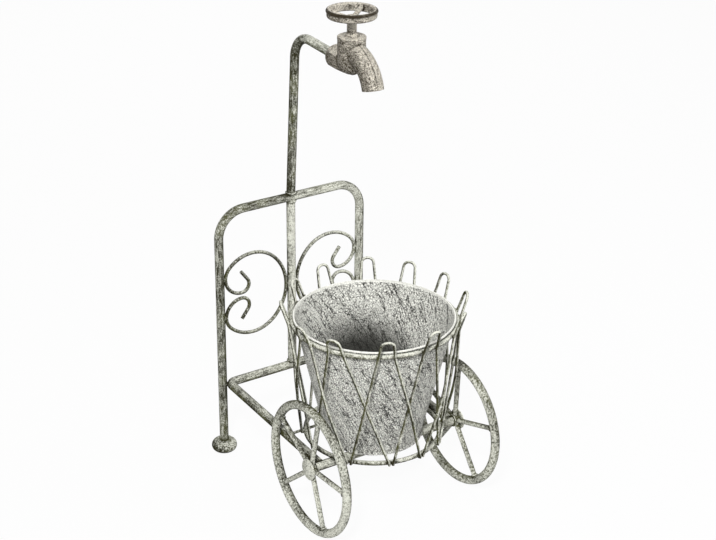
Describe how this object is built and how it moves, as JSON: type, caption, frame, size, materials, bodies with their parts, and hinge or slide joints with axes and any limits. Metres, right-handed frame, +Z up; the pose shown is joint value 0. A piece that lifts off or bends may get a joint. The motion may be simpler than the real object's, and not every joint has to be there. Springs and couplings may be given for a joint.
{
  "type": "plant stool",
  "caption": "Wire-cart plant stool with a bent-tube frame, spoked wheels, a hairpin-wire basket with a lift-out pot, and a garden tap on a standpipe at the back.",
  "frame": {"origin": "centre of the bounding box on the floor", "axes": "+Z up, +Y from the wheels to the feet at the back, +X to the right seen from the wheels' end"},
  "size_m": [0.214, 0.2822, 0.5399],
  "materials": {
    "frame_tube": "whitewashed grey-green paint, worn to dark brown",
    "foot": "whitewashed grey-green paint",
    "basket_wire": "whitewashed wire, dark on its shaded sides",
    "wheel": "whitewashed grey-green paint, worn at the welds",
    "axle_fitting": "whitewashed paint",
    "tap": "beige-grey crackled paint",
    "pot": "grey crackled zinc"
  },
  "bodies": {
    "frame": {"back_hoop": "frame_tube", "left_foot": "foot", "right_foot": "foot", "base_rail": "frame_tube", "axle_tube": "frame_tube", "lower_post": "frame_tube", "standpipe": "frame_tube", "pot_rest_rod": "basket_wire", "axle_rod": "axle_fitting", "left_scroll": "basket_wire", "right_scroll": "basket_wire", "top_ring": "basket_wire", "bottom_ring": "basket_wire", "hairpin_01": "basket_wire", "hairpin_02": "basket_wire", "hairpin_03": "basket_wire", "hairpin_04": "basket_wire", "hairpin_05": "basket_wire", "hairpin_06": "basket_wire", "hairpin_07": "basket_wire", "hairpin_08": "basket_wire", "hairpin_09": "basket_wire", "hairpin_10": "basket_wire", "hairpin_11": "basket_wire", "hairpin_12": "basket_wire", "left_washer": "axle_fitting", "left_hub_cap": "axle_fitting", "right_washer": "axle_fitting", "right_hub_cap": "axle_fitting", "tap_nut": "tap", "tap_body": "tap", "tap_bonnet": "tap"},
    "left_wheel": {"left_rim": "wheel", "left_hub": "wheel", "left_spoke_1": "wheel", "left_spoke_2": "wheel", "left_spoke_3": "wheel", "left_spoke_4": "wheel", "left_spoke_5": "wheel"},
    "right_wheel": {"right_rim": "wheel", "right_hub": "wheel", "right_spoke_1": "wheel", "right_spoke_2": "wheel", "right_spoke_3": "wheel", "right_spoke_4": "wheel", "right_spoke_5": "wheel"},
    "tap_handle": {"tap_spindle": "tap", "handwheel": "tap", "handwheel_screw": "tap"},
    "lift_out_pot": {"pot": "pot"}
  },
  "joints": [
    {"name": "left_wheel_spin", "type": "hinge", "parent": "frame", "child": "left_wheel", "pos_m": [-0.0958, -0.06575, 0.075], "axis": [1, 0, 0], "continuous": true},
    {"name": "right_wheel_spin", "type": "hinge", "parent": "frame", "child": "right_wheel", "pos_m": [0.0958, -0.06575, 0.075], "axis": [1, 0, 0], "continuous": true},
    {"name": "handwheel_turn", "type": "hinge", "parent": "frame", "child": "tap_handle", "pos_m": [0, 0.00705, 0.537], "axis": [0, 0, 1], "continuous": true},
    {"name": "pot_lift", "type": "slide", "parent": "frame", "child": "lift_out_pot", "axis": [0, 0, 1], "range_m": [0, 0.16]}
  ]
}
